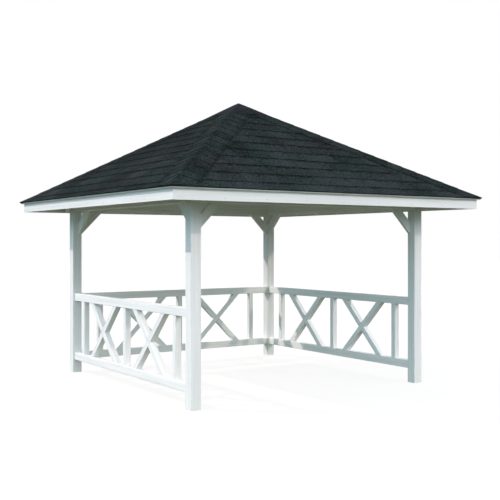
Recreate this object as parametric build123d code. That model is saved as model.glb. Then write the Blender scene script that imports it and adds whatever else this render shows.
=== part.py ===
"""Open square garden gazebo with a pyramid roof, as an assembly of timber pieces.

Millimetres, +Z up, origin on the ground at the centre of the plan. The open side faces -Y.
Every piece that belongs to one side is modelled on the front side and turned into its place.
"""
import os
from math import ceil, cos, radians, sqrt, tan

from build123d import *

# ---- posts and ring beam ----
SPAN = 3240              # over the outer faces of the posts, both ways
POST_SECTION = 120
POST_HEIGHT = 2120
BEAM_DEPTH = 280
ARRIS = 4                # chamfer along the long edges of planed timber

# ---- knee braces ----
BRACE_REACH = 300        # from the post's face, and below the beam, to the brace's lower edge
BRACE_WIDTH = 100
BRACE_THICKNESS = 45

# ---- railings ----
RAIL_HEIGHT = 95
RAIL_THICKNESS = 80
BOTTOM_RAIL_Z = 168      # underside of the bottom rail
TOP_RAIL_Z = 943         # underside of the top rail
BALUSTER_SECTION = 70
BALUSTER_END_GAP = 249   # from a post's face to the outer baluster
CROSS_BAR_WIDTH = 70

# ---- roof ----
ROOF_PITCH = radians(30)
EAVES_OVERHANG = 460     # from the posts' outer faces to the outer face of the fascia
FASCIA_HEIGHT = 125
FASCIA_THICKNESS = 20
BOARD_THICKNESS = 18
BOARD_OVERHANG = 35      # roof boards past the fascia
SHINGLE_THICKNESS = 9    # two overlapping layers
SHINGLE_OVERHANG = 15    # shingles past the roof boards
RAFTER_WIDTH = 45
RAFTER_DEPTH = 120
RAFTER_SPACING_MAX = 520 # the last jack rafter stands on the beam's end
SEAT_DEPTH = 33          # of the notch over the beam, at the beam's outer face
HIP_WIDTH = 60
HIP_DEPTH = 145
TAIL_COVER = 10          # the fascia hangs this far below the level cut of the tails
KING_BLOCK_WIDTH = 160   # across the flats of the octagon
KING_BLOCK_DROP = 50     # the block hangs this far below the hip rafters
KING_BLOCK_CHAMFER = 20
CAP_HALF_WIDTH = 210     # of the hip caps, measured level from the hip line
CAP_THICKNESS = 5

# ---- worked out from the sizes above ----
SLOPE = tan(ROOF_PITCH)
HIP_SLOPE = SLOPE / sqrt(2)
HIP_COS = 1 / sqrt(1 + HIP_SLOPE**2)
POST_OUT = SPAN / 2
POST_IN = POST_OUT - POST_SECTION
POST_MIDDLE = (POST_OUT + POST_IN) / 2
BEAM_TOP = POST_HEIGHT + BEAM_DEPTH
BRACE_FOOT_Z = POST_HEIGHT - BRACE_REACH
BALUSTER_OFFSET = POST_IN - BALUSTER_END_GAP - BALUSTER_SECTION / 2
RAFTER_STEPS = ceil(POST_IN / RAFTER_SPACING_MAX)
RAFTER_SPACING = POST_IN / RAFTER_STEPS
FASCIA_OUT = POST_OUT + EAVES_OVERHANG
FASCIA_IN = FASCIA_OUT - FASCIA_THICKNESS
BOARD_OUT = FASCIA_OUT + BOARD_OVERHANG
ROOF_OUT = BOARD_OUT + SHINGLE_OVERHANG
RAFTER_PEAK = BEAM_TOP - SEAT_DEPTH + RAFTER_DEPTH / cos(ROOF_PITCH) + POST_OUT * SLOPE
FASCIA_Z = RAFTER_PEAK - FASCIA_OUT * SLOPE - FASCIA_HEIGHT
TAIL_Z = FASCIA_Z + TAIL_COVER
BOARD_PEAK = RAFTER_PEAK + BOARD_THICKNESS / cos(ROOF_PITCH)
SHINGLE_PEAK = BOARD_PEAK + SHINGLE_THICKNESS / cos(ROOF_PITCH)
CAP_PEAK = SHINGLE_PEAK + CAP_THICKNESS / cos(ROOF_PITCH)
APEX_CAP_PEAK = SHINGLE_PEAK + 2 * CAP_THICKNESS / cos(ROOF_PITCH)
APEX_CAP_HALF = CAP_HALF_WIDTH * sqrt(2)  # out to where the hip caps of one slope meet
FAR = 2 * ROOF_OUT       # a length that reaches past everything

SIDE_TURNS = {"front": 0, "right": 90, "back": 180, "left": 270}


def block(x_span, y_span, z_span):
    """A box between pairs of X, Y and Z values."""
    spans = (x_span, y_span, z_span)
    size = [high - low for low, high in spans]
    middle = [(high + low) / 2 for low, high in spans]
    return Pos(*middle) * Box(*size)


def plate_xz(points, y_span):
    """A plate with an outline in X and Z, between two Y values."""
    outline = Plane.XZ.offset(-y_span[0]) * make_face(Polyline(*points, close=True))
    return extrude(outline, amount=-(y_span[1] - y_span[0]))


def bar_yz(points, x_half):
    """A bar with an outline in Y and Z, to either side of X = 0."""
    return extrude(Plane.YZ * make_face(Polyline(*points, close=True)), amount=x_half, both=True)


def turned(shape, side):
    """A shape of the front side, turned to the named side."""
    return Rot(0, 0, SIDE_TURNS[side]) * shape


def chamfered(bar, axis, arris=ARRIS):
    """A bar with the edges along one axis chamfered."""
    return chamfer(bar.edges().filter_by(axis), arris)


def under_roof(peak, half):
    """Everything below a roof surface with its top at peak, out to half in plan."""
    eaves = peak - half * SLOPE
    gable = bar_yz([(-half, 0), (half, 0), (half, eaves), (0, peak), (-half, eaves)], half)
    return gable & Rot(0, 0, 90) * gable


def roof_layer(low_peak, high_peak, half):
    """The space between two parallel roof surfaces, out to half in plan."""
    return under_roof(high_peak, half) - under_roof(low_peak, FAR)


def bay(setback=0):
    """The quarter of the plan that the front side owns, up to the hip lines or short of them."""
    tip = -setback * sqrt(2)
    corners = [(0, tip), (-FAR, tip - FAR), (FAR, tip - FAR)]
    return extrude(make_face(Polyline(*corners, close=True)), amount=2 * APEX_CAP_PEAK)


def post():
    """A post of the front left corner, with its foot on the ground."""
    span = (-POST_OUT, -POST_IN)
    return chamfered(block(span, span, (0, POST_HEIGHT)), Axis.Z)


def beam(corner_half):
    """The front beam on its post tops, halved at each end to keep its lower or upper half."""
    span = (POST_HEIGHT, BEAM_TOP)
    middle = (POST_HEIGHT + BEAM_TOP) / 2
    bar = chamfered(block((-POST_OUT, POST_OUT), (-POST_OUT, -POST_IN), span), Axis.X)
    cut_away = (middle, FAR) if corner_half == "lower" else (0, middle)
    for ends in ((-FAR, -POST_IN), (POST_IN, FAR)):
        bar -= block(ends, (-FAR, FAR), cut_away)
    return bar


def knee_braces():
    """The two braces of the front side, flush with the inner faces of the posts."""
    step = BRACE_WIDTH * sqrt(2)
    outline = [
        (-POST_IN, BRACE_FOOT_Z),
        (-POST_IN + BRACE_REACH, POST_HEIGHT),
        (-POST_IN + BRACE_REACH - step, POST_HEIGHT),
        (-POST_IN, BRACE_FOOT_Z + step),
    ]
    brace = plate_xz(outline, (-POST_IN - BRACE_THICKNESS, -POST_IN))
    return Compound([brace, mirror(brace, about=Plane.YZ)])


def rail(underside):
    """A rail between two posts, with its underside at the height given."""
    half = RAIL_THICKNESS / 2
    thickness = (-POST_MIDDLE - half, -POST_MIDDLE + half)
    bar = block((-POST_IN, POST_IN), thickness, (underside, underside + RAIL_HEIGHT))
    return chamfered(bar, Axis.X)


def balusters():
    """Three upright balusters between the rails."""
    half = BALUSTER_SECTION / 2
    thickness = (-POST_MIDDLE - half, -POST_MIDDLE + half)
    height = (BOTTOM_RAIL_Z + RAIL_HEIGHT, TOP_RAIL_Z)
    upright = chamfered(block((-half, half), thickness, height), Axis.Z)
    return Compound([Pos(x, 0, 0) * upright for x in (-BALUSTER_OFFSET, 0, BALUSTER_OFFSET)])


def cross_braces():
    """A cross in each bay of the railing: two bars at 45 degrees, halved where they meet."""
    low = BOTTOM_RAIL_Z + RAIL_HEIGHT
    reach = (TOP_RAIL_Z - low) / 2
    cut = CROSS_BAR_WIDTH / sqrt(2)
    half = BALUSTER_SECTION / 2
    outline = [
        (-reach - cut, low),
        (-reach + cut, low),
        (reach + cut, TOP_RAIL_Z),
        (reach - cut, TOP_RAIL_Z),
    ]
    bar = plate_xz(outline, (-POST_MIDDLE - half, -POST_MIDDLE + half))
    cross = bar + mirror(bar, about=Plane.YZ)
    return Compound([Pos(x, 0, 0) * cross for x in (-BALUSTER_OFFSET / 2, BALUSTER_OFFSET / 2)])


def fascia():
    """The front fascia, with its top under the roof boards and mitred ends."""
    board = block((-FASCIA_OUT, FASCIA_OUT), (-FASCIA_OUT, -FASCIA_IN), (FASCIA_Z, FAR))
    return board & under_roof(RAFTER_PEAK, FAR) & bay()


def beam_ring():
    """The space that the four beams fill, for the notches over them."""
    height = (POST_HEIGHT, BEAM_TOP)
    outside = block((-POST_OUT, POST_OUT), (-POST_OUT, POST_OUT), height)
    return outside - block((-POST_IN, POST_IN), (-POST_IN, POST_IN), height)


def rafters():
    """The common rafter and the jack rafters of the front side."""
    depth = RAFTER_DEPTH / cos(ROOF_PITCH)
    top_end = -KING_BLOCK_WIDTH / 2
    outline = [
        (-FASCIA_IN, RAFTER_PEAK - FASCIA_IN * SLOPE),
        (top_end, RAFTER_PEAK + top_end * SLOPE),
        (top_end, RAFTER_PEAK + top_end * SLOPE - depth),
        (-FASCIA_IN, RAFTER_PEAK - FASCIA_IN * SLOPE - depth),
    ]
    bar = bar_yz(outline, RAFTER_WIDTH / 2) - block((-FAR, FAR), (-FAR, FAR), (0, TAIL_Z))
    bar -= beam_ring()
    clear_of_hips = bay(HIP_WIDTH / 2)
    timbers = [bar]
    for step in range(1, RAFTER_STEPS + 1):
        for x in (-step * RAFTER_SPACING, step * RAFTER_SPACING):
            timbers.append((Pos(x, 0, 0) * bar) & clear_of_hips)
    return Compound(timbers)


def hip_rafters():
    """The four hip rafters, from the king block to the corners of the fascia."""
    depth = HIP_DEPTH / HIP_COS
    near = KING_BLOCK_WIDTH / 2
    far = FASCIA_IN * sqrt(2)
    outline = [
        (-far, RAFTER_PEAK - far * HIP_SLOPE - depth),
        (-far, RAFTER_PEAK),
        (-near, RAFTER_PEAK),
        (-near, RAFTER_PEAK - near * HIP_SLOPE - depth),
    ]
    hip = Rot(0, 0, 45) * bar_yz(outline, HIP_WIDTH / 2)
    hip &= under_roof(RAFTER_PEAK, FASCIA_IN)
    hip -= block((-FAR, FAR), (-FAR, FAR), (0, TAIL_Z))
    hip -= beam_ring()
    return Compound([turned(hip, side) for side in SIDE_TURNS])


def king_block():
    """The octagonal block that the rafters meet at, under the peak."""
    hip_underside = RAFTER_PEAK - KING_BLOCK_WIDTH / 2 * HIP_SLOPE - HIP_DEPTH / HIP_COS
    low = hip_underside - KING_BLOCK_DROP
    octagon = RegularPolygon(KING_BLOCK_WIDTH / 2, 8, major_radius=False, rotation=22.5)
    octagonal = Pos(0, 0, low) * extrude(octagon, amount=RAFTER_PEAK - low)
    octagonal = chamfer(octagonal.faces().sort_by(Axis.Z)[0].edges(), KING_BLOCK_CHAMFER)
    return octagonal & under_roof(RAFTER_PEAK, FAR)


def roof_boards():
    """The boarding of the front slope, mitred at the hips."""
    return roof_layer(RAFTER_PEAK, BOARD_PEAK, BOARD_OUT) & bay()


def shingles():
    """The shingle covering of the front slope, mitred at the hips."""
    return roof_layer(BOARD_PEAK, SHINGLE_PEAK, ROOF_OUT) & bay()


def hip_caps():
    """The folded strips over the hips, from the eaves up to the apex cap."""
    strip = block((-CAP_HALF_WIDTH, CAP_HALF_WIDTH), (-FAR, 0), (0, FAR))
    cap = roof_layer(SHINGLE_PEAK, CAP_PEAK, ROOF_OUT) & Rot(0, 0, 45) * strip
    apex_square = (-APEX_CAP_HALF, APEX_CAP_HALF)
    cap -= block(apex_square, apex_square, (0, FAR))
    return Compound([turned(cap, side) for side in SIDE_TURNS])


def apex_cap():
    """The small folded cap over the peak, which the hip caps run up to."""
    return roof_layer(SHINGLE_PEAK, APEX_CAP_PEAK, APEX_CAP_HALF)


def pieces():
    """Every piece by its node name."""
    named = {
        "front_left_post": turned(post(), "front"),
        "front_right_post": turned(post(), "right"),
        "back_right_post": turned(post(), "back"),
        "back_left_post": turned(post(), "left"),
        "hip_rafters": hip_rafters(),
        "king_block": king_block(),
        "hip_caps": hip_caps(),
        "apex_cap": apex_cap(),
    }
    for side in SIDE_TURNS:
        corner_half = "lower" if side in ("front", "back") else "upper"
        named[f"{side}_beam"] = turned(beam(corner_half), side)
        named[f"{side}_knee_braces"] = turned(knee_braces(), side)
        named[f"{side}_fascia"] = turned(fascia(), side)
        named[f"{side}_rafters"] = turned(rafters(), side)
        named[f"{side}_roof_boards"] = turned(roof_boards(), side)
        named[f"{side}_shingles"] = turned(shingles(), side)
    for side in ("left", "back", "right"):
        named[f"{side}_bottom_rail"] = turned(rail(BOTTOM_RAIL_Z), side)
        named[f"{side}_top_rail"] = turned(rail(TOP_RAIL_Z), side)
        named[f"{side}_balusters"] = turned(balusters(), side)
        named[f"{side}_cross_braces"] = turned(cross_braces(), side)
    return named


os.makedirs("parts", exist_ok=True)
for name, shape in pieces().items():
    export_step(shape, f"parts/{name}.step")
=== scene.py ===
"""Looks of an open garden gazebo: white stained timber under an anthracite shingle roof.

Everything is in metres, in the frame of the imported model: +Z up, the open side towards -Y.
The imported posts, beams, rails, balusters, fascias and rafters keep their shape and get their
finish here. Shingles, caps, roof boards, knee braces, railing crosses and screws are new
pieces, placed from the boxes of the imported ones.
"""

import logging
import math
from collections.abc import Sequence
from dataclasses import dataclass, field
from enum import Enum

import bmesh
import bpy
import numpy as np
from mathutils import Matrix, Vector


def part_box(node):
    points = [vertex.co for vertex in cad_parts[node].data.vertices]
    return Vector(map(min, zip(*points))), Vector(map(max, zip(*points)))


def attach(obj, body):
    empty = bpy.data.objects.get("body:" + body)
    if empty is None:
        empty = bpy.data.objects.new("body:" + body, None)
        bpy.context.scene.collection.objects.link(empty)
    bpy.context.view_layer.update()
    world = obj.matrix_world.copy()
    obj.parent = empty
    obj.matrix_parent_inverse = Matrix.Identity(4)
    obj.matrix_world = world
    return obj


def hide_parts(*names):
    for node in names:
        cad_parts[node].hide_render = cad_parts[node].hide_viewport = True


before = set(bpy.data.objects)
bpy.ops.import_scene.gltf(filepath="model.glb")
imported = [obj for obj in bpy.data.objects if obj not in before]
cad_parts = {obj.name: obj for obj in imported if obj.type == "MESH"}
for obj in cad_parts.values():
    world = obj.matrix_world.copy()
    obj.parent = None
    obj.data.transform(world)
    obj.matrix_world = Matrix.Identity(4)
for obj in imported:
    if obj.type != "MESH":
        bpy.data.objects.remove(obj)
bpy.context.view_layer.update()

logging.basicConfig(level=logging.INFO, format="%(message)s")
log = logging.getLogger("gazebo")

Grid = np.ndarray
Colour = tuple[float, float, float, float]
Triple = tuple[float, float, float]
Pair = tuple[float, float]
Tree = bpy.types.NodeTree
Socket = bpy.types.NodeSocket
Value = Socket | Sequence[float] | float | str
Material = bpy.types.Material

BODY = "root"
SEED = 2130
ROOT_HALF = math.sqrt(0.5)    # the sine and cosine of 45 degrees


# ---------------------------------------------------------------- colour and nodes

def linear(code: str) -> Colour:
    """Turns an sRGB hex colour to the linear colour that the shaders take.

    Args:
        code: the colour as "#rrggbb".

    Returns:
        Linear red, green and blue, and an alpha of one.
    """
    shares = [int(code[place:place + 2], 16) / 255 for place in (1, 3, 5)]
    bent = [s / 12.92 if s <= 0.04045 else ((s + 0.055) / 1.055) ** 2.4 for s in shares]
    return (bent[0], bent[1], bent[2], 1.0)


def put(tree: Tree, kind: str, *values: Value, named: dict[str, Value] | None = None, out: str = "",
        **settings: str | bool) -> Socket | None:
    """Adds one node to a tree, with its settings and what its inputs hold or are fed by.

    Args:
        tree: the node tree.
        kind: the node's type and, after a dot, its operation or data type.
        values: for the inputs in order, an output to link, a plain value or a hex colour.
        named: the same for other inputs, by name.
        out: the name of the output that is wanted, if it isn't the first.
        settings: the node's own properties.

    Returns:
        That output of the new node, or None if it has none.
    """
    kind, _, mode = kind.partition(".")
    node = tree.nodes.new("ShaderNode" + kind)
    if mode:
        settings["data_type" if kind == "Mix" else "operation"] = mode
    for name, value in settings.items():
        setattr(node, name, value)
    inputs = [socket for socket in node.inputs if socket.enabled]
    given = list(zip(inputs, values))
    given += [(node.inputs[name], value) for name, value in (named or {}).items()]
    for socket, value in given:
        if isinstance(value, Socket):
            tree.links.new(value, socket)
        else:
            socket.default_value = linear(value) if isinstance(value, str) else value
    return node.outputs[out] if out else next((socket for socket in node.outputs if socket.enabled), None)


# ---------------------------------------------------------------- finishes

@dataclass(frozen=True)
class Finish:
    """What is common to the finishes.

    Attributes:
        name: the material's name.
    """

    name: str

    def surface(self, tree: Tree) -> Socket:
        """Adds the finish's nodes and gives the shader's output."""
        raise NotImplementedError

    def material(self) -> Material:
        """Makes the material."""
        material = bpy.data.materials.new(self.name)
        material.use_nodes = True
        material.node_tree.nodes.clear()
        put(material.node_tree, "OutputMaterial", self.surface(material.node_tree))
        return material


@dataclass(frozen=True)
class Grain:
    """Where the grain of a packed timber runs.

    Attributes:
        along: the direction of the grain.
        across: the direction in which glued layers are stacked.
        mirrored: work on the sizes of X and Y, for members that mirror about the centre.
        member_axis: the direction along which like members repeat.
        member_gap: from one member's middle to the next one's.
    """

    along: Triple
    across: Triple
    mirrored: bool = False
    member_axis: Triple = (1.0, 0.0, 0.0)
    member_gap: float = 0.5


@dataclass(frozen=True)
class StainedTimber(Finish):
    """Planed spruce under an opaque white wood stain.

    To the eye it is a soft, clean white that is a little cool, with the fine run of the
    grain showing through as faint grey streaks, thin glue lines where layers meet, and a
    few knots that yellow the stain.

    Attributes:
        grain: where the grain runs, or None for a piece with its own grain attribute.
        stain: the colour of the stain.
        streak: the darker colour of the latewood under it.
        layer: thickness of a glued layer, or 0 for solid wood.
        layer_origin: where the first glue line lies along the grain's across direction.
        roughness: mean roughness; a satin stain is about 0.5.
    """

    grain: Grain | None
    stain: str = "#eef1f0"
    streak: str = "#dde2e0"
    layer: float = 0.0
    layer_origin: float = 0.0
    roughness: float = 0.52

    STREAK_LENGTH = 1.1
    STREAK_WIDTH = 0.030      # bands of latewood, drawn as wide as they need to show
    STREAK_RANGE = (0.35, 0.75)
    FIBRE_LENGTH = 0.09
    FIBRE_WIDTH = 0.0022      # planed fibre, for the relief
    FIBRE_SHARE = 0.6
    MEMBER_SHIFT = 7.3        # along the grain, so that no two members look alike
    KNOT_SPACING = 0.13
    KNOT_STRETCH = 5.0
    KNOT_EDGE = (0.05, 0.12)  # in spacings
    KNOTLESS = 0.72           # the share of places without a knot
    KNOT_STAIN, KNOT_STRENGTH = "#d3cbb8", 0.35
    GLUE_LINE = 0.0016        # drawn wider than the real 0.2 mm, so that it shows
    GLUE_STAIN, GLUE_STRENGTH = "#a9ada8", 0.45
    LAYER_TONES = (0.955, 1.0)
    END_STAIN, END_STRENGTH = "#cfcec4", 0.6
    EDGE_SQUARE, END_SQUARE = 0.7, 0.9    # how squarely layers' faces and end grain look their way
    ROUGHNESS_SPREAD = 0.08
    RELIEF = 0.0005

    def grain_place(self, tree: Tree) -> Socket:
        """The place in the timber's own directions: along the grain, across it, through it."""
        if self.grain is None:
            return put(tree, "Attribute", attribute_name="grain", out="Vector")
        spot = put(tree, "TexCoord", out="Object")
        member = put(tree, "VectorMath.DOT_PRODUCT", spot, self.grain.member_axis)
        number = put(tree, "Math.ROUND", put(tree, "Math.DIVIDE", member, self.grain.member_gap))
        if self.grain.mirrored:
            spot = put(tree, "VectorMath.ABSOLUTE", spot)
        along, across = Vector(self.grain.along).normalized(), Vector(self.grain.across).normalized()
        ways = (along, across, along.cross(across))
        parts = [put(tree, "VectorMath.DOT_PRODUCT", spot, way) for way in ways]
        shifted = put(tree, "Math.MULTIPLY_ADD", number, self.MEMBER_SHIFT, parts[0])
        return put(tree, "CombineXYZ", shifted, parts[1], parts[2])

    def stretched_noise(self, tree: Tree, place: Socket, length: float, width: float,
                        detail: float) -> Socket:
        """Noise drawn out along the grain.

        Args:
            tree: the material's node tree.
            place: the place in the timber's own directions.
            length: of one streak along the grain.
            width: of one streak across it.
            detail: octaves of finer noise.

        Returns:
            A value from 0 to 1.
        """
        scaled = put(tree, "VectorMath.MULTIPLY", place, (1 / length, 1 / width, 1 / width))
        return put(tree, "TexNoise", scaled, 1.0, detail, 0.55)

    def knots(self, tree: Tree, place: Socket) -> Socket:
        """A mask of sparse knots: small rounds around the points of a stretched Voronoi pattern."""
        pitch = 1 / self.KNOT_SPACING
        scaled = put(tree, "VectorMath.MULTIPLY", place, (pitch / self.KNOT_STRETCH, pitch, pitch))
        cells = put(tree, "TexVoronoi", scaled, 1.0)
        near = put(tree, "MapRange", cells, *self.KNOT_EDGE, 1.0, 0.0)
        chosen = put(tree, "SeparateColor", cells.node.outputs["Color"])
        return put(tree, "Math.MULTIPLY", near, put(tree, "Math.GREATER_THAN", chosen, self.KNOTLESS))

    def squareness(self, tree: Tree, way: Triple) -> Socket:
        """How squarely the face looks along a direction or against it, from 0 to 1."""
        facing = put(tree, "NewGeometry", out="True Normal")
        square = put(tree, "VectorMath.DOT_PRODUCT", facing, Vector(way).normalized())
        return put(tree, "Math.ABSOLUTE", square)

    def glue_lines(self, tree: Tree, place: Socket) -> tuple[Socket, Socket]:
        """A mask of the glue lines, which the layers' own faces lack, and a random value for
        each layer."""
        across = put(tree, "SeparateXYZ", place, out="Y")
        level = put(tree, "Math.SUBTRACT", across, self.layer_origin)
        near = put(tree, "Math.PINGPONG", level, self.layer / 2)
        line = put(tree, "MapRange", near, 0.0, self.GLUE_LINE, 1.0, 0.0)
        edges = put(tree, "Math.LESS_THAN", self.squareness(tree, self.grain.across), self.EDGE_SQUARE)
        number = put(tree, "Math.FLOOR", put(tree, "Math.MULTIPLY_ADD", level, 1 / self.layer, 0.01))
        tone = put(tree, "TexWhiteNoise", number, noise_dimensions="1D")
        return put(tree, "Math.MULTIPLY", line, edges), tone

    def surface(self, tree: Tree) -> Socket:
        """Adds stain, streaks, layers, knots, end grain and relief."""
        place = self.grain_place(tree)
        streaks = self.stretched_noise(tree, place, self.STREAK_LENGTH, self.STREAK_WIDTH, 3.0)
        fibre = self.stretched_noise(tree, place, self.FIBRE_LENGTH, self.FIBRE_WIDTH, 2.0)
        latewood = put(tree, "MapRange", streaks, *self.STREAK_RANGE)
        colour = put(tree, "Mix.RGBA", latewood, self.stain, self.streak)
        knots = put(tree, "Math.MULTIPLY", self.knots(tree, place), self.KNOT_STRENGTH)
        colour = put(tree, "Mix.RGBA", knots, colour, self.KNOT_STAIN)
        height = put(tree, "Math.MULTIPLY_ADD", fibre, self.FIBRE_SHARE, streaks)
        if self.layer:
            line, tone = self.glue_lines(tree, place)
            tone = put(tree, "MapRange", tone, 0.0, 1.0, *self.LAYER_TONES)
            colour = put(tree, "VectorMath.SCALE", colour, tone)
            dark = put(tree, "Math.MULTIPLY", line, self.GLUE_STRENGTH)
            colour = put(tree, "Mix.RGBA", dark, colour, self.GLUE_STAIN)
            height = put(tree, "Math.SUBTRACT", height, line)
        if self.grain is not None:
            end = put(tree, "Math.GREATER_THAN", self.squareness(tree, self.grain.along), self.END_SQUARE)
            end = put(tree, "Math.MULTIPLY", end, self.END_STRENGTH)
            colour = put(tree, "Mix.RGBA", end, colour, self.END_STAIN)
        low, high = self.roughness - self.ROUGHNESS_SPREAD, self.roughness + self.ROUGHNESS_SPREAD
        dull = put(tree, "MapRange", fibre, 0.0, 1.0, low, high)
        relief = put(tree, "Bump", 0.5, self.RELIEF, named={"Height": height})
        return put(tree, "BsdfPrincipled", named={
            "Base Color": colour, "Roughness": dull, "Normal": relief})


@dataclass(frozen=True)
class MineralFelt(Finish):
    """Bitumen shingle with a pressed coat of slate grit.

    To the eye it is a dull near-black with a speckled grain. Each tab is a little lighter or
    darker than the next, and the slate wanders between a green and a violet cast.

    Attributes:
        ground: colour of the bitumen and the darkest grains.
        green: colour of the lighter grains where the slate is green.
        violet: their colour where it is violet.
        patch: how strongly broad weathered patches change the tone.
        gloss: how much light the grit mirrors.
    """

    ground: str = "#050707"
    green: str = "#2b3d3a"
    violet: str = "#31383a"
    patch: float = 0.95
    gloss: float = 0.04

    GRIT = 0.017         # drawn coarser than the real 1.5 mm grains, so that it shows
    FINE_GRIT = 0.006
    FINE_SHARE = 0.12
    GRIT_RANGE = (0.42, 0.77)
    PATCH_SIZE = 0.42
    CAST_SIZE = 0.85
    DRIFT = (0.35, 0.65)  # the noise between which patches and casts go from one end to the other
    TONE_LIFT = 0.15
    TONE_CAST = 0.07
    RELIEF = 0.003       # deeper than real grit, as the grains are drawn coarser

    def surface(self, tree: Tree) -> Socket:
        """Adds grit of two sizes, weather patches and the tone of each tab."""
        spot = put(tree, "TexCoord", out="Object")
        coarse = put(tree, "TexNoise", spot, 1 / self.GRIT, 2.0, 0.5)
        fine = put(tree, "SeparateColor", put(tree, "TexVoronoi", spot, 1 / self.FINE_GRIT, out="Color"))
        patches = put(tree, "TexNoise", spot, 1 / self.PATCH_SIZE, 3.0)
        casts = put(tree, "TexNoise", spot, 1 / self.CAST_SIZE, 2.0)
        # The tone attribute also carries painted shade: below each course, on each slope, along the hip
        # folds and at the caps' side edges.
        tone = put(tree, "Attribute", attribute_name="tone", out="Fac")
        grit = put(tree, "Math.MULTIPLY_ADD", fine, self.FINE_SHARE, coarse)
        share = put(tree, "MapRange", grit, *self.GRIT_RANGE)
        weather = put(tree, "MapRange", patches, *self.DRIFT, -self.patch, self.patch)
        lift = put(tree, "Math.ADD", tone, weather)
        share = put(tree, "Math.MULTIPLY_ADD", lift, self.TONE_LIFT, share, use_clamp=True)
        cast = put(tree, "Math.MULTIPLY_ADD", tone, self.TONE_CAST, casts)
        cast = put(tree, "MapRange", cast, *self.DRIFT)
        slate = put(tree, "Mix.RGBA", cast, self.green, self.violet)
        colour = put(tree, "Mix.RGBA", share, self.ground, slate)
        relief = put(tree, "Bump", 0.9, self.RELIEF, named={"Height": grit})
        return put(tree, "BsdfPrincipled", named={
            "Base Color": colour, "Roughness": 0.95, "Diffuse Roughness": 1.0,
            "Specular IOR Level": self.gloss, "Normal": relief})


@dataclass(frozen=True)
class CutBitumen(Finish):
    """The cut edge of a shingle: bare black bitumen, which the eye reads as a thin dark line."""

    name: str = "cut_bitumen"
    black: str = "#040505"
    worn: str = "#0e1112"

    SPECKS = 220.0    # to the metre

    def surface(self, tree: Tree) -> Socket:
        """Adds black with specks where grit clings to the cut."""
        specks = put(tree, "TexNoise", put(tree, "TexCoord", out="Object"), self.SPECKS, 2.0)
        colour = put(tree, "Mix.RGBA", specks, self.black, self.worn)
        return put(tree, "BsdfPrincipled", named={
            "Base Color": colour, "Roughness": 0.9, "Specular IOR Level": 0.1})


@dataclass(frozen=True)
class ZincPlate(Finish):
    """Zinc-plated steel of a screw head: a small grey glint with a fine spangle."""

    name: str = "zinc_plate"

    SPANGLE = 0.0025

    def surface(self, tree: Tree) -> Socket:
        """Adds metal whose tone and roughness wander a little."""
        spangle = put(tree, "TexNoise", put(tree, "TexCoord", out="Object"), 1 / self.SPANGLE)
        colour = put(tree, "Mix.RGBA", spangle, "#9da3a6", "#c6cbcd")
        dull = put(tree, "MapRange", spangle, 0.0, 1.0, 0.32, 0.5)
        return put(tree, "BsdfPrincipled", named={"Base Color": colour, "Metallic": 1.0, "Roughness": dull})


# ---------------------------------------------------------------- meshes from arrays

class Side(Enum):
    """A side of the gazebo, with its turn about Z from the front in degrees."""

    FRONT = 0
    RIGHT = 90
    BACK = 180
    LEFT = 270

    def __str__(self) -> str:
        """The side's word in the names of the pieces."""
        return self.name.lower()

    def turn(self, points: Grid | Triple) -> Grid:
        """Turns points of the front side to this side, about Z."""
        angle = math.radians(self.value)
        cosine, sine = math.cos(angle), math.sin(angle)
        x, y, z = np.moveaxis(points, -1, 0)
        return np.stack([x * cosine - y * sine, x * sine + y * cosine, z], axis=-1)


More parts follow.
